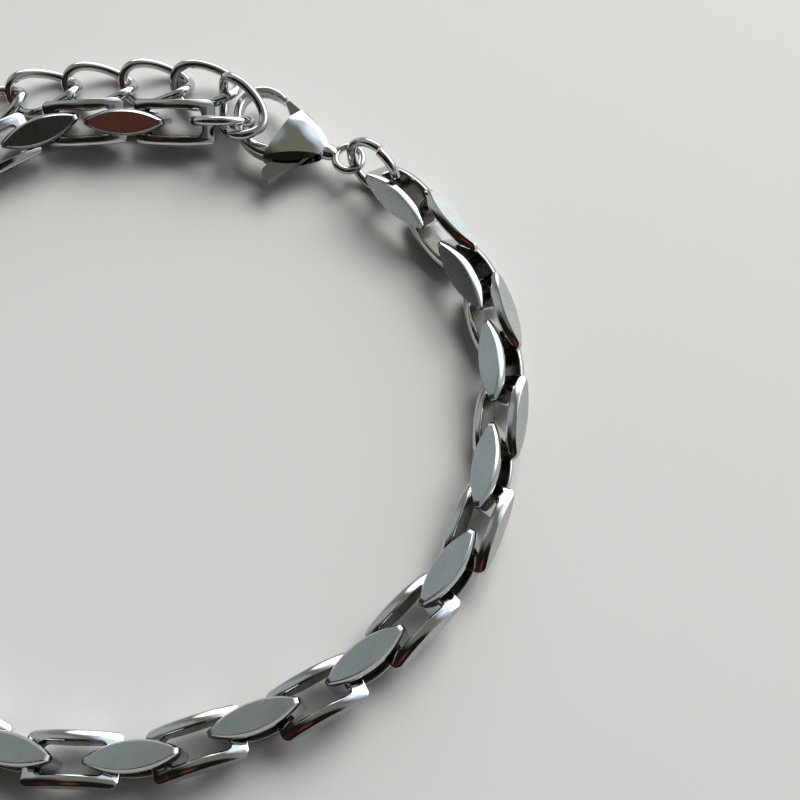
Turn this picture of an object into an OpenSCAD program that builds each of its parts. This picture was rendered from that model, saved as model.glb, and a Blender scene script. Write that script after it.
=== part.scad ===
// Link bracelet of stainless steel, fastened, lying as one loop on a level surface.
// Its origin is the centre of the underside of its bounding box, +Z is up, and lengths are millimetres.
// Seen from above, the links are numbered clockwise round the loop from the clasp.

/* [Link] */
// Length of a link over its end bars
link_length = 7.5; // [7.4:0.05:7.6]
// Height of a link from one marquise facet to the other
link_height = 4.1; // [4:0.05:4.2]
// Greatest width of the marquise
link_width = 2.45; // [2.3:0.05:2.5]
// Length of the marquise if its two arcs met in sharp points
marquise_length = 8.2; // [8:0.1:8.4]
// Width of the polished bevel round each facet
facet_bevel = 0.22; // [0.16:0.02:0.28]
// Thickness of a link's end bars
end_bar = 1.15; // [1.05:0.05:1.2]
// Thickness of a link's side bars
side_bar = 0.88; // [0.8:0.02:0.98]
// Radius of a link's outer corners
outer_corner = 0.65; // [0.4:0.05:0.7]
// Radius of the corners of a link's window
window_corner = 0.5; // [0.3:0.05:0.55]

/* [Rings] */
// Outer diameter of the two jump rings
ring_diameter = 6.1; // [6:0.05:6.2]
// Wire diameter of the two jump rings
ring_wire = 0.84; // [0.7:0.02:0.86]
// Width of the split in a jump ring
ring_split = 0.08; // [0.04:0.02:0.12]

/* [Extender] */
// Length of a curb link over its wire
curb_length = 7.35; // [7.3:0.05:7.4]
// Width of a curb link over its wire
curb_width = 5.0; // [4.9:0.05:5.1]
// Wire diameter of a curb link
curb_wire = 0.88; // [0.7:0.02:0.88]
// Twist of each end of a curb link against its middle
curb_twist = 40; // [38:1:42]

/* [Clasp] */
// Height of the clasp's middle plane above the surface
clasp_height = 2.05; // [2:0.05:2.1]
// Outer radius of the hook's far side, which runs into the body
hook_radius = 4.05; // [4:0.05:4.1]
// Outer radius of the hook's near side, which ends at the gate
hook_nose_radius = 2.6; // [2.55:0.05:2.65]
// Width of the hook's band, seen from above
hook_band = 0.8; // [0.7:0.05:0.85]
// Thickness of the hook's band
hook_thickness = 1.3; // [1.1:0.1:1.3]
// Thickness of the body where its two domes are highest
body_thickness = 3.1; // [3:0.1:3.2]
// Radius of the neck between the eye and the body
neck_radius = 0.62; // [0.5:0.02:0.7]
// Thickness of the lever
lever_thickness = 0.9; // [0.8:0.05:0.95]
// Width of the slot that the lever turns in
lever_slot = 1.1; // [1.05:0.05:1.2]
// Radius of the lever's pin
pin_radius = 0.35; // [0.3:0.05:0.4]
// Length of the lever's pin
pin_length = 2.3; // [2:0.1:2.4]
// Gap between the pin and the body round it
pin_gap = 0.03; // [0.02:0.01:0.04]
// Gap between the pin and the lever that turns on it
lever_gap = 0.05; // [0.03:0.01:0.08]
// Radius of the middle of the eye's round section
eye_radius = 1.25; // [1.2:0.05:1.3]
// Radius of the eye's round section
eye_section = 0.36; // [0.32:0.02:0.4]

/* [Hidden] */
$fn = 48;
body_fn = 120;

link_count = 36;

// Moves the loop, with all that hangs on it, to the middle of its frame.
loop_shift = [0.71, -0.41, 0];

// Place of each link in view, a row each from the clasp on: middle, heading of its length, roll to the inside.
X = 0;
Y = 1;
HEADING = 2;
ROLL = 3;
clasp_run = [
    [21.10, 18.19, -45.6, 58],
    [24.31, 14.51, -53.7, 53],
    [27.02, 10.48, -61.0, 50],
    [28.65, 6.20, -75.7, 43],
    [29.35, 1.91, -86.9, 39],
    [29.13, -2.91, -98.6, 32],
    [28.28, -7.51, -101.1, 25],
    [26.96, -12.10, -112.1, 20],
    [24.77, -16.03, -126.0, 17],
    [21.62, -19.68, -135.0, 14],
    [18.11, -22.80, -144.0, 12],
    [14.15, -25.55, -152.2, 10],
    [9.59, -27.34, -160.1, 9],
    [5.03, -29.10, -162.7, 9],
    [0.40, -30.16, -174.4, 10],
    [-4.45, -30.20, -181.5, 11],
    [-9.29, -29.61, -192.6, 11]
];
extender_run = [
    [-12.83, 25.05, -334.7, 36],
    [-8.85, 25.95, -356.2, 35],
    [-4.80, 26.01, -360.1, 35],
    [-0.42, 25.95, -361.0, 34]
];

// Between the two runs the links lie on one arc, with a roll each.
arc_rolls = [9, 6, 3, 1, 0, 0, 0, 2, 5, 9, 13, 18, 23, 28, 32];
arc_first = len(clasp_run);
arc_last = link_count - len(extender_run) + 1;
arc_start = clasp_run[arc_first - 1];
arc_end = extender_run[0];
arc_turn = arc_end[HEADING] - arc_start[HEADING];
arc_chord = [arc_end[X] - arc_start[X], arc_end[Y] - arc_start[Y]];
arc_radius = norm(arc_chord) / 2 / sin(-arc_turn / 2);
arc_lead = atan2(arc_chord[Y], arc_chord[X]) - 360 - (arc_start[HEADING] + arc_end[HEADING]) / 2;
arc_centre = [arc_start[X], arc_start[Y]] - along(arc_start[HEADING] + arc_lead + 90, arc_radius);

// The ring through the clasp's eye, and the one that the hook is closed round.
clasp_ring_place = [18.17, 20.75, 3.01];
clasp_ring_tilt = 79.5;
clasp_ring_heading = -37.8;
clasp_ring_split = 60;
end_ring_place = [4.03, 25.75, 2.63];
end_ring_tilt = 123;
end_ring_heading = -1;
end_ring_split = 0;

// Shape of a curb link's oval, and sections and sides of its wire.
curb_fullness = 0.8;
curb_sections = 28;
curb_sides = 6;

// Place of the extender's links in view, a row each from the jump ring on: middle, heading, pitch, roll.
curb_rest = 1.25;
CURB_PLACE = 0;
CURB_HEADING = 1;
CURB_PITCH = 2;
CURB_ROLL = 3;
curb_run = [
    [[5.58, 26.62, 3.48], 118.4, -7, -34.7],
    [[2.01, 30.10, 1.83], -15.2, 8.6, 9.1],
    [[-2.76, 30.78, 1.27], -4.3, -0.6, 0.9],
    [[-8.21, 30.50, curb_rest], -3, 0, 0],
    [[-13.46, 29.95, curb_rest], 9, 0, 0]
];

// The last ones follow the chain outside it.
curb_arc_links = 4;
curb_arc_radius = 34.2;
curb_arc_start = 110;
curb_arc_turn = 9;

// The clasp lies along its own X from the eye to the hook, and these places are in its middle plane.
clasp_place = [15.4, 22.34];
clasp_heading = 157.6;
eye_place = [-0.47, -0.04];
neck_turn = -9;
neck_start = 1.3;
neck_length = 2;
hook_centre = [7.5, -1.5];
hook_root = 103;
hook_nose_centre = hook_centre + [hook_radius - hook_nose_radius, 0];
hook_nose_end = 127;
hook_overlap = 3;
hook_inset = 0.02;
band_chamfer = 0.22;
body_middle = [5.5, -0.2];
body_dome_radius = 7;
belly_centre = [6.3, -2.15];
belly_radius = 4.6;
back_centre = [8.95, 7];
back_radius = 10.4;
body_cut = [[1, -5], [5.2, -5], [6.6, -1.6], [7.4, 2.1], [7, 5], [1, 5]];
slot_cut = [[2.6, -0.9], [4.6, -2.3], [5.2, -5], [8, -5], [8, 1], [6.3, 1.4], [6.1, 4], [3.6, 4], [2.6, 1.2]];
pin_place = [3.6, 0.4];
lever_boss = 0.95;
lever_gate = [[3, -0.4], [5.3, -2.75], [7.1, -3.35], [6.9, -2.6], [6.2, -1.9], [4.5, 0.6]];
lever_tab = [[3.0, 1.1], [4.5, 0.2], [6.0, 2.6], [6.4, 3.6], [5.9, 4.4], [5.3, 4.3], [4.4, 2.8]];

function link_name(i) = str("link_", i < 10 ? "0" : "", i);
function along(heading, distance) = distance * [cos(heading), sin(heading)];

function arc_row(i) =
    let (
        heading = arc_start[HEADING] + arc_lead + arc_turn * (i - arc_first) / (arc_last - arc_first),
        place = arc_centre + along(heading + 90, arc_radius)
    )
    [place[X], place[Y], heading, arc_rolls[i - arc_first - 1]];

function link_row(i) =
    i <= arc_first ? clasp_run[i - 1]
    : i >= arc_last ? extender_run[i - arc_last]
    : arc_row(i);

// Height of the chain's axis at which a facet link and a side link with this roll just clear the surface.
function axis_height(roll) =
    let (
        half = link_height / 2,
        facet = link_width / 2 - facet_bevel,
        corners = [[half, facet], [half - facet_bevel, link_width / 2]]
    )
    max([for (c = corners) each [
        c[0] * cos(roll) + c[1] * sin(roll),
        c[0] * sin(roll) + c[1] * cos(roll)
    ]]);

module rounded_rectangle(length, width, radius) {
    square([length - 2 * radius, width], center = true);
    square([length, width - 2 * radius], center = true);
    for (x = [-1, 1], y = [-1, 1])
        translate([x * (length / 2 - radius), y * (width / 2 - radius)]) circle(radius);
}

// One of the two bevelled discs whose overlap is the marquise.
module marquise_disc() {
    half = link_height / 2;
    radius = (pow(marquise_length / 2, 2) + pow(link_width / 2, 2)) / link_width;
    translate([0, radius - link_width / 2])
        rotate_extrude()
            polygon([
                [0, -half], [radius - facet_bevel, -half], [radius, facet_bevel - half],
                [radius, half - facet_bevel], [radius - facet_bevel, half], [0, half]
            ]);
}

// A link lies along X with its facets up and down and its window open along Y.
module link() {
    intersection() {
        marquise_disc();
        mirror([0, 1, 0]) marquise_disc();
        rotate([90, 0, 0])
            linear_extrude(height = 2 * link_width, center = true)
                difference() {
                    rounded_rectangle(link_length, link_height, outer_corner);
                    rounded_rectangle(link_length - 2 * end_bar, link_height - 2 * side_bar, window_corner);
                }
    }
}

// Every second link is turned a quarter round its length.
module chain_link(i) {
    place = link_row(i);
    turn = i % 2 == 1 ? 0 : 90;
    color("silver")
        translate([place[X], place[Y], axis_height(place[ROLL])])
            rotate([place[ROLL] + turn, 0, place[HEADING]])
                link();
}

module jump_ring(split_angle) {
    radius = (ring_diameter - ring_wire) / 2;
    difference() {
        rotate_extrude() translate([radius, 0]) circle(ring_wire / 2);
        rotate([0, 0, split_angle])
            translate([radius, 0, 0])
                cube([2 * ring_wire, ring_split, 2 * ring_wire], center = true);
    }
}

module jump_ring_clasp() {
    color("gainsboro")
        translate(clasp_ring_place)
            rotate([clasp_ring_tilt, 0, clasp_ring_heading])
                jump_ring(clasp_ring_split);
}

module jump_ring_end() {
    color("gainsboro")
        translate(end_ring_place)
            rotate([end_ring_tilt, 0, end_ring_heading])
                jump_ring(end_ring_split);
}

// Middle of a curb link's wire: a full oval along X whose two ends are twisted opposite ways.
function fuller(value) = sign(value) * pow(abs(value), curb_fullness);
function curb_point(t) =
    let (
        reach = (curb_length - curb_wire) / 2 * fuller(cos(t)),
        spread = (curb_width - curb_wire) / 2 * fuller(sin(t)),
        twist = -curb_twist * fuller(cos(t))
    )
    [reach, spread * cos(twist), spread * sin(twist)];

// Corner j of the wire's section i, whose first direction points away from the link's middle.
function curb_corner(i, j) =
    let (
        t = 360 * (i + 0.5) / curb_sections,
        point = curb_point(t),
        ahead = curb_point(t + 1) - curb_point(t - 1),
        tangent = ahead / norm(ahead),
        side = cross(tangent, cross(point, tangent)),
        outward = side / norm(side),
        across = cross(tangent, outward),
        turn = 360 * (j + 0.5) / curb_sides
    )
    point + curb_wire / 2 * (cos(turn) * outward + sin(turn) * across);

module curb_link() {
    corners = [for (i = [0 : curb_sections - 1], j = [0 : curb_sides - 1]) curb_corner(i, j)];
    faces = [
        for (i = [0 : curb_sections - 1], j = [0 : curb_sides - 1])
            let (
                next_i = (i + 1) % curb_sections,
                next_j = (j + 1) % curb_sides,
                a = i * curb_sides + j,
                b = next_i * curb_sides + j,
                c = next_i * curb_sides + next_j,
                d = i * curb_sides + next_j
            )
            each [[a, b, c], [a, c, d]]
    ];
    polyhedron(corners, faces);
}

module curb_link_in_run(row) {
    translate(row[CURB_PLACE])
        rotate([row[CURB_ROLL], -row[CURB_PITCH], row[CURB_HEADING]])
            curb_link();
}

module extender_first() {
    color("gainsboro") curb_link_in_run(curb_run[0]);
}

module extender_chain() {
    color("gainsboro") {
        for (k = [1 : len(curb_run) - 1]) curb_link_in_run(curb_run[k]);
        for (k = [1 : curb_arc_links])
            let (
                angle = curb_arc_start + k * curb_arc_turn,
                place = arc_centre + along(angle, curb_arc_radius)
            )
            curb_link_in_run([[place[X], place[Y], curb_rest], angle - 90, 0, 0]);
    }
}

module at_clasp() {
    translate([clasp_place[X], clasp_place[Y], clasp_height]) rotate([0, 0, clasp_heading]) children();
}

module at_pin() {
    translate([pin_place[X], pin_place[Y], 0]) children();
}

module pin_hole(gap) {
    at_pin() cylinder(h = 2 * body_thickness, r = pin_radius + gap, center = true);
}

module band_section(inset) {
    side = hook_band / 2 - inset;
    top = hook_thickness / 2 - inset;
    polygon([
        [band_chamfer - side, -top], [side - band_chamfer, -top], [side, band_chamfer - top],
        [side, top - band_chamfer], [side - band_chamfer, top], [band_chamfer - side, top],
        [-side, top - band_chamfer], [-side, band_chamfer - top]
    ]);
}

// A stretch of the hook's band from one angle to another round a centre.
module hook_arc(centre, radius, from, to, inset) {
    translate([centre[X], centre[Y], 0])
        rotate([0, 0, from])
            rotate_extrude(angle = to - from)
                translate([radius - hook_band / 2, 0])
                    band_section(inset);
}

module body_outline() {
    intersection() {
        translate(belly_centre) circle(belly_radius, $fn = body_fn);
        translate(back_centre) circle(back_radius, $fn = body_fn);
        polygon(body_cut);
    }
}

// The body's outline between an upper and a lower dome.
module body_domes() {
    drop = body_dome_radius - body_thickness / 2;
    intersection() {
        linear_extrude(height = 2 * body_thickness, center = true) body_outline();
        translate([body_middle[X], body_middle[Y], -drop])
            rotate([90, 0, 0]) sphere(body_dome_radius, $fn = body_fn);
        translate([body_middle[X], body_middle[Y], drop])
            rotate([90, 0, 0]) sphere(body_dome_radius, $fn = body_fn);
    }
}

module neck() {
    rotate([0, 90, neck_turn]) translate([0, 0, neck_start]) cylinder(h = neck_length, r = neck_radius);
}

module eye() {
    translate([eye_place[X], eye_place[Y], 0]) {
        rotate_extrude() translate([eye_radius, 0]) circle(eye_section);
        neck();
    }
}

// Eye, body and hook are one casting, slotted and drilled for the lever.
module clasp_body() {
    color("gainsboro") at_clasp() {
        difference() {
            union() {
                body_domes();
                eye();
            }
            linear_extrude(height = lever_slot, center = true) polygon(slot_cut);
            pin_hole(pin_gap);
        }
        hook_arc(hook_centre, hook_radius, 0, hook_root, 0);
        hook_arc(hook_nose_centre, hook_nose_radius, -hook_nose_end, hook_overlap, hook_inset);
    }
}

// Seen from above: a round boss on the pin, the gate's arm and the thumb tab.
module lever_outline() {
    translate(pin_place) circle(lever_boss);
    polygon(lever_gate);
    polygon(lever_tab);
}

module clasp_lever() {
    color("silver") at_clasp()
        difference() {
            linear_extrude(height = lever_thickness, center = true) lever_outline();
            pin_hole(lever_gap);
        }
}

module clasp_pin() {
    color("silver") at_clasp() at_pin() cylinder(h = pin_length, r = pin_radius, center = true);
}

translate(loop_shift) {
    for (i = [1 : link_count])
        chain_link(i);
    jump_ring_clasp();
    jump_ring_end();
    extender_first();
    extender_chain();
    clasp_body();
    clasp_lever();
    clasp_pin();
}
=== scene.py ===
import math

import bmesh
import bpy
import numpy
from mathutils import Matrix, Vector


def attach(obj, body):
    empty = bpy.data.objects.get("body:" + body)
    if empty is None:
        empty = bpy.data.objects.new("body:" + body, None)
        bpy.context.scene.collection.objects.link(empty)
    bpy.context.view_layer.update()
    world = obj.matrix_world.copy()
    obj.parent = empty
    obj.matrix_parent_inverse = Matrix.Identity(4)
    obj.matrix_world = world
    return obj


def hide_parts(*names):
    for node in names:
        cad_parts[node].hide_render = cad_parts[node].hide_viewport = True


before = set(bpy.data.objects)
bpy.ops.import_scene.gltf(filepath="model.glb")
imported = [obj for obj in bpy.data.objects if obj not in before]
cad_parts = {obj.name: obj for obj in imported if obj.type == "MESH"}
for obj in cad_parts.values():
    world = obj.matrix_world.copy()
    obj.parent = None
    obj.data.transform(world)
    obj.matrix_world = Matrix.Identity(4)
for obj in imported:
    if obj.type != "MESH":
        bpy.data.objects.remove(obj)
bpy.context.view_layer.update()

millimetres = Matrix.Scale(0.001, 4)

# Facet links.
# Thirty-six cast stainless steel links, each a marquise from above and an open frame from the side.
# They are tumbled bright all over, and then both facets are lapped flat and brushed across.
link_count = 36
link_length = 7.5
link_height = 4.1
link_width = 2.45
marquise_length = 8.2
marquise_radius = ((marquise_length / 2) ** 2 + (link_width / 2) ** 2) / link_width
shoulder = 0.45
shoulder_stretch = 1.667
lapped_off = 0.08
end_bar = 1.15
side_bar = 0.88
outer_corner = 0.65
window_half_length = link_length / 2 - end_bar
window_half_height = link_height / 2 - side_bar
window_corner = 0.5
window_rounding = 0.18
rim_rounding = 0.09
tip_reach = 4.13
tip_slope = 28.5
tip_rounding = 0.62
marquise_steps = 90
shoulder_steps = 7
corner_steps = 8
tip_steps = 10
nearness = 0.01


def only(*objects):
    """Selects these objects alone and makes the first one active."""
    bpy.ops.object.select_all(action="DESELECT")
    for one in objects:
        one.select_set(True)
    bpy.context.view_layer.objects.active = objects[0]


def settle(piece):
    """Moves the place, turn and scale of the object into its mesh."""
    only(piece)
    bpy.ops.object.transform_apply(location=True, rotation=True, scale=True)


def select_edges(piece, wanted):
    """Selects the edges of the piece in edit mode whose middle and direction are wanted."""
    bpy.ops.mesh.select_all(action="DESELECT")
    shape = bmesh.from_edit_mesh(piece.data)
    for edge in shape.edges:
        start, end = edge.verts[0].co, edge.verts[1].co
        edge.select_set(wanted((start + end) / 2, (end - start).normalized()))
    bmesh.update_edit_mesh(piece.data)


def round_edges(piece, wanted, radius, segments):
    """Rounds the edges of the piece that are wanted."""
    only(piece)
    bpy.ops.object.mode_set(mode="EDIT")
    bpy.ops.mesh.select_mode(type="EDGE")
    select_edges(piece, wanted)
    bpy.ops.mesh.bevel(offset=radius, segments=segments, profile=0.5, affect="EDGES")
    bpy.ops.object.mode_set(mode="OBJECT")


def cut_with(piece, tool, operation):
    """Joins the piece with the tool by the boolean operation and takes the tool away."""
    only(piece)
    cut = piece.modifiers.new("cut", "BOOLEAN")
    cut.operation = operation
    cut.solver = "EXACT"
    cut.object = tool
    bpy.ops.object.modifier_apply(modifier=cut.name)
    bpy.data.objects.remove(tool)


def soften_rims(piece, width, segments, angle):
    """Rounds every edge that is sharper than the angle."""
    only(piece)
    rims = piece.modifiers.new("rims", "BEVEL")
    rims.width = width
    rims.segments = segments
    rims.limit_method = "ANGLE"
    rims.angle_limit = math.radians(angle)
    rims.miter_outer = "MITER_ARC"
    bpy.ops.object.modifier_apply(modifier=rims.name)


def smooth_and_weigh(piece, angle):
    """Shades the piece smooth up to the angle, with its normals led by its larger faces."""
    only(piece)
    bpy.ops.object.shade_smooth_by_angle(angle=math.radians(angle))
    weighing = piece.modifiers.new("weighing", "WEIGHTED_NORMAL")
    weighing.keep_sharp = True
    weighing.weight = 60
    bpy.ops.object.modifier_apply(modifier=weighing.name)


def on_flat_rim(middle, way):
    """Whether an edge runs round the top or the bottom of a disc."""
    return abs(way.z) < 0.1 and abs(middle.z) > 1


def marquise_disc(side):
    """A thick disc with rounded shoulders, stretched upwards so that they run down its side."""
    bpy.ops.mesh.primitive_cylinder_add(
        vertices=marquise_steps,
        radius=marquise_radius,
        depth=(link_height + 2 * lapped_off) / shoulder_stretch,
        location=(0, side * (marquise_radius - link_width / 2), 0),
    )
    disc = bpy.context.object
    round_edges(disc, on_flat_rim, shoulder, shoulder_steps)
    disc.scale.z = shoulder_stretch
    return disc


def rounded_block(length, height, radius):
    """A block that runs right through the link, with its long edges rounded."""
    bpy.ops.mesh.primitive_cube_add(size=1, scale=(length, 3 * link_width, height))
    block = bpy.context.object
    settle(block)
    round_edges(block, lambda middle, way: abs(way.y) > 0.9, radius, corner_steps)
    return block


def blunt_lozenge():
    """A tall lozenge that touches the marquise near its two tips and rounds them."""
    bpy.ops.mesh.primitive_cylinder_add(vertices=4, radius=1, depth=3 * link_height)
    block = bpy.context.object
    width = tip_reach * math.tan(math.radians(tip_slope))
    for vertex in block.data.vertices:
        across, along = vertex.co.x, vertex.co.y
        vertex.co.x, vertex.co.y = along * tip_reach, -across * width
    round_edges(
        block,
        lambda middle, way: abs(way.z) > 0.9 and abs(middle.x) > 1,
        tip_rounding,
        tip_steps,
    )
    return block


link_pattern = marquise_disc(1)
cut_with(link_pattern, marquise_disc(-1), "INTERSECT")
cut_with(link_pattern, blunt_lozenge(), "INTERSECT")
cut_with(link_pattern, rounded_block(link_length, link_height, outer_corner), "INTERSECT")
cut_with(
    link_pattern,
    rounded_block(link_length - 2 * end_bar, link_height - 2 * side_bar, window_corner),
    "DIFFERENCE",
)
settle(link_pattern)


def in_window(place):
    """Whether a place lies in the window or on its wall."""
    along = abs(place.x) < window_half_length + nearness
    upright = abs(place.z) < window_half_height + nearness
    return along and upright


def on_window_wall(place):
    """Whether a place lies on the rounded rectangle of the window."""
    over_x = max(abs(place.x) - (window_half_length - window_corner), 0)
    over_z = max(abs(place.z) - (window_half_height - window_corner), 0)
    return abs(math.hypot(over_x, over_z) - window_corner) < 2 * nearness


def on_window_rim(middle, way):
    """Whether an edge runs round one of the two mouths of the window."""
    at_mouth = abs(middle.y) > 0.3 and abs(way.y) < 0.5
    return at_mouth and in_window(middle) and on_window_wall(middle)


round_edges(link_pattern, on_window_rim, window_rounding, 4)
soften_rims(link_pattern, rim_rounding, 3, 55)
smooth_and_weigh(link_pattern, 26)


def new_material(name, metal_colour, roughness):
    """A plain metal, with its nodes, its links and its shader."""
    material = bpy.data.materials.new(name)
    material.use_nodes = True
    shader = material.node_tree.nodes["Principled BSDF"]
    shader.inputs["Metallic"].default_value = 1.0
    shader.inputs["Base Color"].default_value = (*metal_colour, 1.0)
    shader.inputs["Roughness"].default_value = roughness
    return material, material.node_tree.nodes, material.node_tree.links, shader


def ramp_between(nodes, links, source, low, high, from_min=0.3, from_max=0.7):
    """A value that runs from low to high as the source runs over its middle range."""
    spread = nodes.new("ShaderNodeMapRange")
    spread.inputs["From Min"].default_value = from_min
    spread.inputs["From Max"].default_value = from_max
    spread.inputs["To Min"].default_value = low
    spread.inputs["To Max"].default_value = high
    links.new(source, spread.inputs["Value"])
    return spread.outputs["Result"]


def noise_on(nodes, links, coordinates, scale, detail, stretch=(1, 1, 1)):
    """A noise of the given scale and detail, with its coordinates stretched first."""
    mapping = nodes.new("ShaderNodeMapping")
    mapping.inputs["Scale"].default_value = stretch
    links.new(coordinates, mapping.inputs["Vector"])
    noise = nodes.new("ShaderNodeTexNoise")
    noise.inputs["Scale"].default_value = scale
    noise.inputs["Detail"].default_value = detail
    links.new(mapping.outputs["Vector"], noise.inputs["Vector"])
    return noise.outputs["Fac"]


def colour_between(nodes, links, factor, dark, light):
    """A colour that runs from dark to light as the factor runs from 0 to 1."""
    blend = nodes.new("ShaderNodeMix")
    blend.data_type = "RGBA"
    links.new(factor, blend.inputs["Factor"])
    blend.inputs["A"].default_value = (*dark, 1.0)
    blend.inputs["B"].default_value = (*light, 1.0)
    return blend.outputs["Result"]


# The bright finish of all that was only tumbled: nearly a mirror, with a faint bloom and waviness.
polished_colour = (0.60, 0.605, 0.60)
polished_dull = (0.53, 0.53, 0.52)
polished, nodes, links, shader = new_material("polished_steel", polished_colour, 0.1)
place_on = nodes.new("ShaderNodeTexCoord").outputs["Object"]
bloom = noise_on(nodes, links, place_on, 260, 3)
links.new(ramp_between(nodes, links, bloom, 0.04, 0.09), shader.inputs["Roughness"])
bloomed = colour_between(nodes, links, bloom, polished_dull, polished_colour)
links.new(bloomed, shader.inputs["Base Color"])
waviness = noise_on(nodes, links, place_on, 900, 2)
wavy = nodes.new("ShaderNodeBump")
wavy.inputs["Strength"].default_value = 0.022
wavy.inputs["Distance"].default_value = 0.0001
links.new(waviness, wavy.inputs["Height"])
links.new(wavy.outputs["Normal"], shader.inputs["Normal"])

# The brushed finish of the lapped facets, whose fine lines run across the link.
satin_colour = (0.58, 0.605, 0.61)
satin_dull = (0.47, 0.49, 0.49)
brushing_tile = 10
brushing_shift = (1.37, 0.61)
line_share = 0.16
satin, nodes, links, shader = new_material("satin_steel", satin_colour, 0.3)
across = nodes.new("ShaderNodeUVMap")
across.uv_map = "brushing"
across = across.outputs["UV"]
lines = noise_on(nodes, links, across, 110, 4, (1.0, 0.008, 1.0))
patches = noise_on(nodes, links, across, 4, 2)
links.new(ramp_between(nodes, links, lines, 0.26, 0.29), shader.inputs["Roughness"])
tone = nodes.new("ShaderNodeMath")
tone.operation = "MULTIPLY_ADD"
links.new(lines, tone.inputs[0])
tone.inputs[1].default_value = line_share
links.new(ramp_between(nodes, links, patches, 0.0, 0.6), tone.inputs[2])
toned = colour_between(nodes, links, tone.outputs[0], satin_dull, satin_colour)
links.new(toned, shader.inputs["Base Color"])
grain = nodes.new("ShaderNodeBump")
grain.inputs["Strength"].default_value = 0.016
grain.inputs["Distance"].default_value = 0.00002
links.new(lines, grain.inputs["Height"])
links.new(grain.outputs["Normal"], shader.inputs["Normal"])

# The insides of the windows, where no tool reaches, are rougher; their darker colour is painted shade
# for the closed hollows.
inside_painted_shade_colour = (0.24, 0.235, 0.21)
window_shade_steel, nodes, links, shader = new_material("window_painted_shade_steel", inside_painted_shade_colour, 0.24)
place_on = nodes.new("ShaderNodeTexCoord").outputs["Object"]
skin = noise_on(nodes, links, place_on, 1400, 3)
links.new(ramp_between(nodes, links, skin, 0.18, 0.32), shader.inputs["Roughness"])

finishes = [polished, satin, window_shade_steel]
link_pattern.data.materials.clear()
for material in finishes:
    link_pattern.data.materials.append(material)
# Lapped facets take the satin steel, faces in the window take the inside steel whose darker colour is
# painted shade, and the rest is polished.
for face in link_pattern.data.polygons:
    lapped = abs(face.normal.y) < 0.06 and abs(face.normal.z) > 0.72
    if lapped and abs(face.center.z) > 1.5:
        face.material_index = finishes.index(satin)
    elif in_window(face.center):
        face.material_index = finishes.index(window_shade_steel)
    else:
        face.material_index = finishes.index(polished)
brushing = link_pattern.data.uv_layers.new(name="brushing")
for corner in link_pattern.data.loops:
    place = link_pattern.data.vertices[corner.vertex_index].co
    brushing.data[corner.index].uv = (place.x / brushing_tile, place.y / brushing_tile)


def own_axes(mesh, faces=None):
    """The middle and the long, wide and thin axes of a symmetrical piece, from the area of its faces."""
    mesh.calc_loop_triangles()
    triangles = [t for t in mesh.loop_triangles if faces is None or t.polygon_index in faces]
    middles = numpy.array([t.center for t in triangles])
    areas = numpy.array([t.area for t in triangles])
    centre = (middles * areas[:, None]).sum(0) / areas.sum()
    offsets = middles - centre
    spread = (offsets * areas[:, None]).T @ offsets
    vectors = numpy.linalg.eigh(spread)[1]
    long, wide = vectors[:, 2], vectors[:, 1]
    thin = numpy.cross(long, wide)
    return Vector(centre), Vector(long), Vector(wide), Vector(thin)


def placed(centre, x_axis, y_axis, z_axis):
    """The place of a pattern whose own axes are to lie along the three given ones."""
    turn = Matrix((x_axis, y_axis, z_axis)).transposed().to_4x4()
    return Matrix.Translation(centre) @ turn @ millimetres


def put_copy(pattern, name, place):
    """A copy of the pattern with its own mesh, set in place with its object left at the origin."""
    piece = pattern.copy()
    piece.data = pattern.data.copy()
    piece.name = name
    piece.data.name = name
    piece.data.transform(place)
    bpy.context.collection.objects.link(piece)
    return piece


for number in range(1, link_count + 1):
    node = f"link_{number:02d}"
    centre, long, tall, thin = own_axes(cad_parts[node].data)
    link = put_copy(link_pattern, f"facet_link_{number:02d}", placed(centre, long, -thin, tall))
    for corner in link.data.uv_layers["brushing"].data:
        corner.uv = (
            corner.uv[0] + number * brushing_shift[0],
            corner.uv[1] + number * brushing_shift[1],
        )
    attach(link, "bracelet")
    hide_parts(node)
bpy.data.objects.remove(link_pattern)

# Jump rings.
# Two rings of round bright steel wire, wound, cut and closed by hand, so that the cut still shows.
# One joins the clasp's eye to the first link, and the hook is closed round the other at the last link.
ring_diameter = 6.1
ring_wire = 0.84
ring_split = 0.12
ring_step = 0.24
ring_radius = (ring_diameter - ring_wire) / 2
ring_sides = 20
ring_steps = 96
cut_rounding = 0.1


def turned(place, tilt, heading, turn):
    """The place of a flat ring that is turned in its plane, tilted, and then headed round."""
    return (
        Matrix.Translation([value / 1000 for value in place])
        @ Matrix.Rotation(math.radians(heading), 4, "Z")
        @ Matrix.Rotation(math.radians(tilt), 4, "X")
        @ Matrix.Rotation(math.radians(turn), 4, "Z")
        @ millimetres
    )


def close_seams():
    """Merges doubled points in edit mode, turns the faces outwards and leaves edit mode."""
    bpy.ops.mesh.select_all(action="SELECT")
    bpy.ops.mesh.remove_doubles(threshold=0.0001)
    bpy.ops.mesh.normals_make_consistent(inside=False)
    bpy.ops.object.mode_set(mode="OBJECT")


def dress(piece, material):
    """Gives the whole piece one material."""
    piece.data.materials.clear()
    piece.data.materials.append(material)


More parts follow.
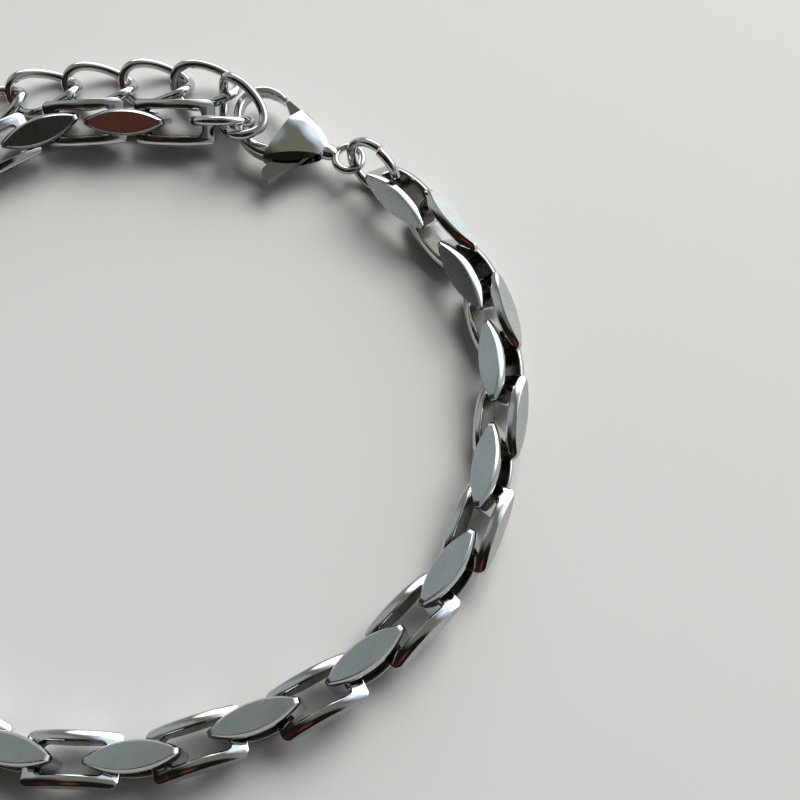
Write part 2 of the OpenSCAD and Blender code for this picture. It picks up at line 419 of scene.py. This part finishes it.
def wound_ring():
    """A round wire wound once about Z and stepped sideways, so that its two cut ends pass."""
    opening = math.degrees(ring_split / ring_radius)
    bpy.ops.mesh.primitive_circle_add(
        vertices=ring_sides,
        radius=ring_wire / 2,
        location=(ring_radius, 0, 0),
        rotation=(math.pi / 2, 0, 0),
        fill_type="NGON",
    )
    ring = bpy.context.object
    settle(ring)
    bpy.ops.object.mode_set(mode="EDIT")
    bpy.ops.mesh.select_all(action="SELECT")
    bpy.ops.mesh.duplicate()
    bpy.ops.mesh.spin(
        steps=ring_steps,
        angle=math.radians(360 - opening),
        center=(0, 0, 0),
        axis=(0, 0, 1),
    )
    close_seams()
    for vertex in ring.data.vertices:
        vertex.co.z += ring_step * math.atan2(-vertex.co.y, -vertex.co.x) / (2 * math.pi)
    soften_rims(ring, cut_rounding, 3, 60)
    smooth_and_weigh(ring, 35)
    dress(ring, polished)
    return ring


jump_rings = {
    "jump_ring_clasp": turned(place=(18.88, 20.34, 3.01), tilt=79.5, heading=-37.8, turn=82),
    "jump_ring_end": turned(place=(4.74, 25.34, 2.63), tilt=123, heading=-1, turn=0),
}
ring_pattern = wound_ring()
for node, place in jump_rings.items():
    ring = put_copy(ring_pattern, f"wire_{node}", place)
    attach(ring, "bracelet")
    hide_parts(node)
bpy.data.objects.remove(ring_pattern)

# Extender chain.
# A curb chain of oval wire links, each bent round, welded, and twisted so that the chain lies flat.
# The first hangs on the end jump ring and the rest run on behind the bracelet.
curb_length = 7.35
curb_width = 5.0
curb_wire = 0.88
curb_twist = -80
curb_handle = 0.69
curb_steps = 16


def curb_oval():
    """An oval of wire, drawn as a circle that is stretched, twisted along its length and thickened."""
    bpy.ops.curve.primitive_bezier_circle_add(radius=1)
    oval = bpy.context.object
    half_length = (curb_length - curb_wire) / 2
    half_width = (curb_width - curb_wire) / 2
    for point in oval.data.splines[0].bezier_points:
        middle = point.co.copy()
        for side in ("handle_left", "handle_right"):
            reach = getattr(point, side) - middle
            reach = reach.normalized() * curb_handle
            setattr(point, f"{side}_type", "FREE")
            setattr(point, side, middle + reach)
    for point in oval.data.splines[0].bezier_points:
        for part in ("co", "handle_left", "handle_right"):
            place = getattr(point, part)
            setattr(point, part, (place.x * half_length, place.y * half_width, 0))
    oval.data.dimensions = "3D"
    oval.data.resolution_u = curb_steps
    only(oval)
    bpy.ops.object.convert(target="MESH")
    oval = bpy.context.object
    twist = oval.modifiers.new("twist", "SIMPLE_DEFORM")
    twist.deform_method = "TWIST"
    twist.deform_axis = "X"
    twist.angle = math.radians(curb_twist)
    bpy.ops.object.modifier_apply(modifier=twist.name)
    bpy.ops.object.convert(target="CURVE")
    oval = bpy.context.object
    oval.data.bevel_depth = curb_wire / 2
    oval.data.bevel_resolution = 4
    oval.data.use_fill_caps = False
    bpy.ops.object.convert(target="MESH")
    oval = bpy.context.object
    bpy.ops.object.mode_set(mode="EDIT")
    close_seams()
    bpy.ops.object.shade_smooth()
    dress(oval, polished)
    return oval


def separate_parts(mesh):
    """The faces of each closed part of a mesh of loose triangles."""
    keys = {}
    owner = []
    for vertex in mesh.vertices:
        key = tuple(round(value * 1e6) for value in vertex.co)
        owner.append(keys.setdefault(key, len(keys)))
    group = list(range(len(keys)))

    def root(item):
        while group[item] != item:
            group[item] = group[group[item]]
            item = group[item]
        return item

    for face in mesh.polygons:
        first = root(owner[face.vertices[0]])
        for vertex in face.vertices[1:]:
            group[root(owner[vertex])] = first
    parts = {}
    for face in mesh.polygons:
        parts.setdefault(root(owner[face.vertices[0]]), set()).add(face.index)
    return list(parts.values())


oval_pattern = curb_oval()
extender_nodes = {"extender_first": "curb_first", "extender_chain": "curb_run"}
for node, name in extender_nodes.items():
    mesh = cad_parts[node].data
    copies = []
    for faces in separate_parts(mesh):
        centre, long, wide, thin = own_axes(mesh, faces)
        copies.append(put_copy(oval_pattern, name, placed(centre, long, wide, thin)))
    only(*copies)
    if len(copies) > 1:
        bpy.ops.object.join()
    chain = bpy.context.object
    chain.name = name
    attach(chain, "bracelet")
    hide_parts(node)
bpy.data.objects.remove(oval_pattern)

# Lobster clasp.
# The body, hook and eye are one polished casting. A stamped lever turns on a riveted pin in its slot.
# The clasp lies along its own X from the eye to the hook.
clasp_place = (
    Matrix.Translation((0.01611, 0.02193, 0.00205))
    @ Matrix.Rotation(math.radians(157.6), 4, "Z")
    @ millimetres
)
body_thickness = 3.1
dome_centre = (5.5, -0.2)
dome_radius = 7
belly_centre = (7.22, -3.92)
belly_radius = 7.09
belly_slope = 1.05
back_centre = (8.95, 7)
back_radius = 10.4
back_rounding = 1.4
back_flatness = 0.62
back_steps = 12
body_rounding = 0.09
slot_width = 1.1
hook_band = 0.8
hook_thickness = 1.3
hook_rounding = 0.34
hook_centre = (7.5, -1.5)
hook_radius = 4.05
hook_root_angle = 112
hook_swell = 0.5
hook_swell_up = 0.35
hook_swell_from = 35
hook_swell_to = 105
nose_radius = 2.6
nose_centre = (hook_centre[0] + hook_radius - nose_radius, hook_centre[1])
nose_tip_angle = -130
nose_taper = 0.4
nose_taper_from = -100
nose_taper_over = 30
eye_place = (-0.47, -0.04)
eye_radius = 1.25
eye_section = 0.36
neck_place = (1.6, 0.05)
neck_size = (1.05, 0.8, 0.62)
pin_place = (3.6, 0.4)
pin_radius = 0.35
pin_gap = 0.05
boss_radius = 0.95
lever_thickness = 0.9
tab_thickness = 0.6
lever_rounding = 0.12


def plate(corners, thickness):
    """A flat plate with the given corners, drawn from a filled circle of as many points."""
    bpy.ops.mesh.primitive_circle_add(vertices=len(corners), radius=1, fill_type="NGON")
    sheet = bpy.context.object
    for vertex, corner in zip(sheet.data.vertices, corners):
        vertex.co = (corner[0], corner[1], -thickness / 2)
    bpy.ops.object.mode_set(mode="EDIT")
    bpy.ops.mesh.select_all(action="SELECT")
    bpy.ops.mesh.extrude_region_move(TRANSFORM_OT_translate={"value": (0, 0, thickness)})
    bpy.ops.mesh.select_all(action="SELECT")
    bpy.ops.mesh.normals_make_consistent(inside=False)
    bpy.ops.object.mode_set(mode="OBJECT")
    return sheet


def clasp_disc(centre, radius, rim, flatness, segments):
    """A disc as thick as the body, whose rim is sloped or rounded and then flattened."""
    bpy.ops.mesh.primitive_cylinder_add(
        vertices=200,
        radius=radius,
        depth=body_thickness / flatness,
        location=(*centre, 0),
    )
    disc = bpy.context.object
    round_edges(disc, on_flat_rim, rim, segments)
    disc.scale.z = flatness
    return disc


def clasp_dome(side):
    """A large sphere, one side of which gives a face of the body its swell."""
    bpy.ops.mesh.primitive_uv_sphere_add(
        segments=160,
        ring_count=80,
        radius=dome_radius,
        location=(*dome_centre, -side * (dome_radius - body_thickness / 2)),
        rotation=(math.pi / 2, 0, 0),
    )
    return bpy.context.object


body_outline = [
    (1, -5), (4.6, -5), (5.2, -2.6), (5.85, -1.3), (6.25, 0.85), (6.75, 2.7), (6.75, 5), (1, 5)
]
slot_outline = [
    (2.2, -0.2), (4.6, -2.3), (5.2, -5), (8, -5), (8, 1), (6.3, 1.4), (6.1, 4), (1.8, 4), (1.95, 0.5)
]
clasp_body = clasp_disc(belly_centre, belly_radius, belly_slope, flatness=1, segments=1)
clasp_back = clasp_disc(back_centre, back_radius, back_rounding, back_flatness, back_steps)
cut_with(clasp_body, clasp_back, "INTERSECT")
cut_with(clasp_body, plate(body_outline, 2 * body_thickness), "INTERSECT")
cut_with(clasp_body, clasp_dome(1), "INTERSECT")
cut_with(clasp_body, clasp_dome(-1), "INTERSECT")
cut_with(clasp_body, plate(slot_outline, slot_width), "DIFFERENCE")
settle(clasp_body)
soften_rims(clasp_body, body_rounding, 3, 18)
smooth_and_weigh(clasp_body, 20)


def hook_arc(centre, radius, start, end):
    """A stretch of the hook's band, spun round the centre."""
    bpy.ops.mesh.primitive_plane_add(
        size=1,
        location=(radius - hook_band / 2, 0, 0),
        rotation=(math.pi / 2, 0, 0),
    )
    band = bpy.context.object
    band.scale = (hook_band, hook_thickness, 1)
    settle(band)
    bpy.ops.object.mode_set(mode="EDIT")
    bpy.ops.mesh.select_all(action="SELECT")
    bpy.ops.mesh.bevel(offset=hook_rounding, segments=6, affect="VERTICES")
    bpy.ops.mesh.select_all(action="SELECT")
    bpy.ops.mesh.duplicate()
    bpy.ops.mesh.spin(
        steps=40,
        angle=math.radians(end - start),
        center=(0, 0, 0),
        axis=(0, 0, -1),
    )
    close_seams()
    turn = Matrix.Rotation(math.radians(start), 4, "Z")
    band.data.transform(Matrix.Translation((*centre, 0)) @ turn)
    smooth_and_weigh(band, 40)
    return band


def way_out(vertex, centre):
    """How a point lies from the centre in plan, and the angle of that way in degrees."""
    out = Vector((vertex.co.x - centre[0], vertex.co.y - centre[1], 0))
    return out, math.degrees(math.atan2(out.y, out.x))


# The hook swells where it leaves the body and narrows to its nose.
hook_far = hook_arc(hook_centre, hook_radius, 0, hook_root_angle)
for vertex in hook_far.data.vertices:
    out, angle = way_out(vertex, hook_centre)
    growth = min(max((angle - hook_swell_from) / (hook_swell_to - hook_swell_from), 0), 1)
    growth = growth * growth * (3 - 2 * growth)
    across = (out.length - (hook_radius - hook_band)) / hook_band
    vertex.co += out.normalized() * across * growth * hook_swell
    vertex.co.z *= 1 + hook_swell_up * growth
hook_near = hook_arc(nose_centre, nose_radius, nose_tip_angle, 0)
for vertex in hook_near.data.vertices:
    out, angle = way_out(vertex, nose_centre)
    taper = min(max((nose_taper_from - angle) / nose_taper_over, 0), 1)
    vertex.co += out.normalized() * (nose_radius - out.length) * nose_taper * taper

bpy.ops.mesh.primitive_torus_add(
    major_segments=72,
    minor_segments=20,
    major_radius=eye_radius,
    minor_radius=eye_section,
    location=(*eye_place, 0),
)
eye = bpy.context.object
bpy.ops.mesh.primitive_uv_sphere_add(
    segments=48,
    ring_count=24,
    radius=1,
    location=(*neck_place, 0),
    scale=neck_size,
)
neck = bpy.context.object
for piece in (eye, neck):
    settle(piece)
    bpy.ops.object.shade_smooth_by_angle(angle=math.radians(40))
only(clasp_body, hook_far, hook_near, eye, neck)
bpy.ops.object.join()
clasp_body = bpy.context.object
clasp_body.name = "lobster_body"
dress(clasp_body, polished)
for face in clasp_body.data.polygons:
    face.material_index = 0
clasp_body.data.transform(clasp_place)
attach(clasp_body, "bracelet")
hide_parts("clasp_body")

# The lever's stamped sheet, which was only tumbled. Its base colour is darker than the castings' as
# painted shade, for the shadow of the body that falls on it.
lever_painted_shade_colour = (0.36, 0.365, 0.355)
lever_shaded_steel, nodes, links, shader = new_material("lever_painted_shade_steel", lever_painted_shade_colour, 0.14)
dullness = noise_on(nodes, links, nodes.new("ShaderNodeTexCoord").outputs["Object"], 700, 3)
links.new(ramp_between(nodes, links, dullness, 0.10, 0.18), shader.inputs["Roughness"])

gate_outline = [(3, -0.4), (5.0, -2.6), (7.0, -3.36), (7.2, -3.0), (6.2, -1.9), (4.5, 0.6)]
tab_outline = [
    (3.0, 1.1), (4.5, 0.2), (5.98, 3.1), (6.35, 3.96), (6.3, 4.5), (5.9, 5.0), (5.4, 5.08),
    (5.05, 4.6), (4.6, 3.75), (3.84, 2.8),
]


def round_the_pin(radius, depth):
    """A cylinder about the axis of the pin."""
    bpy.ops.mesh.primitive_cylinder_add(
        vertices=48,
        radius=radius,
        depth=depth,
        location=(*pin_place, 0),
    )
    return bpy.context.object


lever = round_the_pin(boss_radius, lever_thickness)
cut_with(lever, plate(gate_outline, lever_thickness), "UNION")
cut_with(lever, plate(tab_outline, tab_thickness), "UNION")
settle(lever)
cut_with(lever, round_the_pin(pin_radius + pin_gap, 2 * lever_thickness), "DIFFERENCE")
soften_rims(lever, lever_rounding, 3, 50)
smooth_and_weigh(lever, 35)
lever.name = "lobster_lever"
# The lever takes the darker steel, whose colour is painted shade.
dress(lever, lever_shaded_steel)
lever.data.transform(clasp_place)
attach(lever, "lever")
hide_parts("clasp_lever")

# The pin keeps the mesh of its solid, with the castings' polish.
dress(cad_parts["clasp_pin"], polished)

# Floor, light and camera.
# A plain pale floor, a wide soft light behind the bracelet, and a room for its polish to mirror, bright
# behind and dark in front. The camera looks down from the front, as the photograph was taken.
bpy.ops.mesh.primitive_plane_add(size=4, location=(0, 0, 0))
floor = bpy.context.object
floor.name = "floor"
floor_paint = bpy.data.materials.new("floor_paint")
floor_paint.use_nodes = True
paint = floor_paint.node_tree.nodes["Principled BSDF"]
paint.inputs["Base Color"].default_value = (0.70, 0.695, 0.68, 1)
paint.inputs["Roughness"].default_value = 0.9
floor.data.materials.append(floor_paint)

studio = bpy.context.scene.world or bpy.data.worlds.new("studio")
bpy.context.scene.world = studio
studio.use_nodes = True
nodes, links = studio.node_tree.nodes, studio.node_tree.links
looking = nodes.new("ShaderNodeTexCoord").outputs["Generated"]
surroundings = [
    # Where a patch lies, the half angles at which it is full and gone, and its colour.
    ((0.0, 0.35, 0.94), 20, 75, (0.235, 0.235, 0.20)),
    ((-0.44, 0.37, 0.82), 5, 18, (0.40, 0.45, 0.49)),
    ((-0.66, 0.39, 0.65), 6, 20, (0.42, 0.47, 0.49)),
    ((-0.93, 0.32, 0.30), 10, 28, (0.45, 0.50, 0.50)),
    ((0.85, 0.35, 0.40), 18, 38, (0.75, 0.86, 0.95)),
    ((0.30, 0.86, 0.40), 20, 38, (0.75, 0.86, 0.95)),
    ((0.56, 0.56, 0.61), 22, 31, (0.66, 0.80, 0.95)),
    ((0.56, 0.56, 0.61), 14, 24, (1.2, 1.32, 1.42)),
    ((0.85, 0.38, 0.36), 13, 26, (2.6, 2.7, 2.7)),
    ((0.72, 0.60, 0.36), 13, 26, (2.6, 2.7, 2.7)),
    ((0.50, 0.78, 0.36), 13, 26, (2.6, 2.7, 2.7)),
    ((0.27, 0.89, 0.36), 13, 26, (2.6, 2.7, 2.7)),
    ((0.00, 0.93, 0.36), 13, 26, (2.6, 2.7, 2.7)),
    ((0.0, -0.74, 0.67), 30, 42, (0.020, 0.020, 0.016)),
    ((-0.65, -0.52, 0.48), 26, 46, (0.020, 0.020, 0.016)),
    ((-0.97, -0.20, 0.12), 12, 24, (0.020, 0.020, 0.016)),
    ((-0.24, -0.59, 0.77), 3, 13, (0.20, 0.062, 0.038)),
    ((-0.62, -0.58, 0.52), 0, 16, (0.080, 0.026, 0.018)),
    ((0.45, -0.70, 0.50), 0, 14, (0.06, 0.034, 0.026)),
]
room_colour = (0.34, 0.36, 0.36)
shade = nodes.new("ShaderNodeRGB")
shade.outputs[0].default_value = (*room_colour, 1)
shade = shade.outputs[0]
for towards, inner, outer, colour in surroundings:
    dot = nodes.new("ShaderNodeVectorMath")
    dot.operation = "DOT_PRODUCT"
    links.new(looking, dot.inputs[0])
    dot.inputs[1].default_value = Vector(towards).normalized()
    near = nodes.new("ShaderNodeMapRange")
    near.interpolation_type = "SMOOTHSTEP"
    near.inputs["From Min"].default_value = math.cos(math.radians(outer))
    near.inputs["From Max"].default_value = math.cos(math.radians(inner))
    links.new(dot.outputs["Value"], near.inputs["Value"])
    blend = nodes.new("ShaderNodeMix")
    blend.data_type = "RGBA"
    links.new(near.outputs["Result"], blend.inputs["Factor"])
    links.new(shade, blend.inputs["A"])
    blend.inputs["B"].default_value = (*colour, 1)
    shade = blend.outputs["Result"]
links.new(shade, nodes["Background"].inputs["Color"])
onto_floor = nodes.new("ShaderNodeLightPath").outputs["Is Diffuse Ray"]
strength = ramp_between(nodes, links, onto_floor, 1.0, 0.5, 0, 1)
links.new(strength, nodes["Background"].inputs["Strength"])

light_azimuth = math.radians(57)
light_elevation = math.radians(42)
light_distance = 0.6
light_aim = Vector((0.01, 0, 0))
lamp = bpy.data.lights.new("back_light", "AREA")
lamp.shape = "RECTANGLE"
lamp.size = 0.42
lamp.size_y = 0.30
lamp.energy = 2.8
lamp.color = (1.0, 0.99, 0.97)
level = math.cos(light_elevation)
towards = Vector(
    (
        math.cos(light_azimuth) * level,
        math.sin(light_azimuth) * level,
        math.sin(light_elevation),
    )
)
back_light = bpy.data.objects.new("back_light", lamp)
back_light.location = light_aim + towards * light_distance
back_light.rotation_euler = towards.to_track_quat("Z", "Y").to_euler()
back_light.visible_glossy = False
bpy.context.collection.objects.link(back_light)

camera = bpy.data.objects.new("camera", bpy.data.cameras.new("camera"))
camera.data.lens = 45
camera.data.sensor_width = 36
camera.data.clip_start = 0.001
camera.location = (0.02131, -0.02752, 0.08355)
camera.rotation_euler = (math.radians(17.6), 0, 0)
bpy.context.collection.objects.link(camera)
bpy.context.scene.camera = camera
bpy.context.scene.view_settings.view_transform = "Standard"
bpy.context.scene.view_settings.look = "Medium High Contrast"
